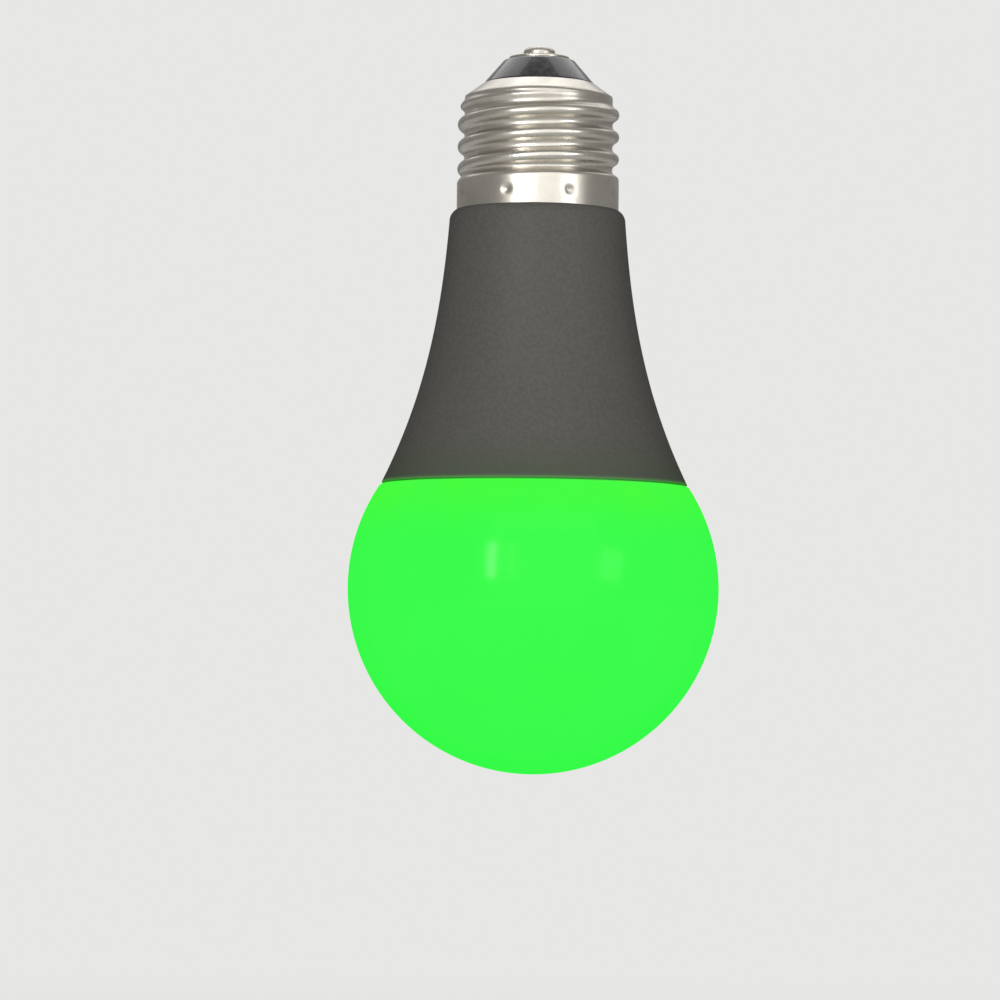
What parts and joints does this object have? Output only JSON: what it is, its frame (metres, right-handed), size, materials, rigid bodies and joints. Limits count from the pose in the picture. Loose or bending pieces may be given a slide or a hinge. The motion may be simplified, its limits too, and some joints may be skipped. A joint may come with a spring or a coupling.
{
  "type": "smart light bulb",
  "caption": "Smart LED light bulb: a round diffusing globe on a flared matte housing, with a threaded screw cap and a centre contact.",
  "frame": {"origin": "tip of the centre contact, on the bulb's axis", "axes": "+Z along the axis towards the screw cap, as the bulb hangs globe down in its lampholder; the driver board stands across the axis in the XZ plane"},
  "size_m": [0.06, 0.06, 0.118],
  "materials": {
    "globe_plastic": "opal diffuser, glossy, lit green from inside",
    "housing_plastic": "fine matte moulded plastic",
    "white_silicone": "white silicone adhesive",
    "heatsink_aluminium": "drawn aluminium",
    "white_board": "white solder mask",
    "led_plastic": "moulded white LED body",
    "warm_phosphor": "orange phosphor gel",
    "cool_phosphor": "yellow phosphor gel",
    "clear_red": "clear gel over a red chip",
    "clear_green": "clear gel over a green chip, lit",
    "clear_blue": "clear gel over a blue chip",
    "plated_steel": "zinc or tin plated steel",
    "black_moulding": "black moulded plastic",
    "ivory_moulding": "ivory moulded plastic",
    "gold_pins": "gold-plated pins",
    "green_board": "green solder mask",
    "blue_board": "dark blue solder mask",
    "solder": "bright solder",
    "copper_track": "tinned copper track",
    "ferrite": "sintered ferrite",
    "bobbin_plastic": "black phenolic",
    "yellow_tape": "yellow polyester tape",
    "capacitor_can": "bare aluminium can",
    "can_sleeve": "shrunk black sleeve",
    "red_epoxy": "dipped epoxy",
    "enamelled_copper": "enamelled copper wire",
    "blue_epoxy": "dipped epoxy",
    "chip_ceramic": "tan ceramic",
    "resistor_coat": "grey-green cement coating",
    "white_sleeve": "woven glass sleeving",
    "red_insulation": "red PVC",
    "blue_insulation": "blue PVC",
    "nickel_plate": "nickel-plated brass sheet, satin",
    "black_insulator": "black cap insulation"
  },
  "bodies": {
    "root": {"globe": "globe_plastic", "globe_seal": "white_silicone", "housing": "housing_plastic", "heatsink_cup": "heatsink_aluminium", "heatsink_plate": "heatsink_aluminium", "thermal_pad": "white_silicone", "led_board": "white_board", "led_packages": "led_plastic", "warm_phosphors": "warm_phosphor", "cool_phosphors": "cool_phosphor", "red_chips": "clear_red", "green_chips": "clear_green", "blue_chips": "clear_blue", "board_screws": "plated_steel", "board_socket": "ivory_moulding", "header_strip": "black_moulding", "header_pins": "gold_pins", "driver_board": "green_board", "solder_joints": "solder", "radio_board": "blue_board", "radio_spacer": "black_moulding", "radio_pins": "gold_pins", "radio_shield": "plated_steel", "radio_antenna": "copper_track", "transformer_core": "ferrite", "transformer_bobbin": "bobbin_plastic", "transformer_winding": "yellow_tape", "output_capacitor": "capacitor_can", "output_capacitor_sleeve": "can_sleeve", "bulk_capacitor": "capacitor_can", "bulk_capacitor_sleeve": "can_sleeve", "film_capacitor": "red_epoxy", "choke_core": "ferrite", "choke_winding": "enamelled_copper", "varistor": "blue_epoxy", "rectifier": "black_moulding", "led_driver_chip": "black_moulding", "supply_chip": "black_moulding", "chip_resistors": "black_moulding", "chip_capacitors": "chip_ceramic", "fuse_resistor": "resistor_coat", "fuse_sleeve": "white_sleeve", "live_wire": "red_insulation", "neutral_wire": "blue_insulation", "screw_shell": "nickel_plate", "cap_insulator": "black_insulator", "contact_plate": "nickel_plate", "contact_nail": "nickel_plate"}
  },
  "joints": []
}
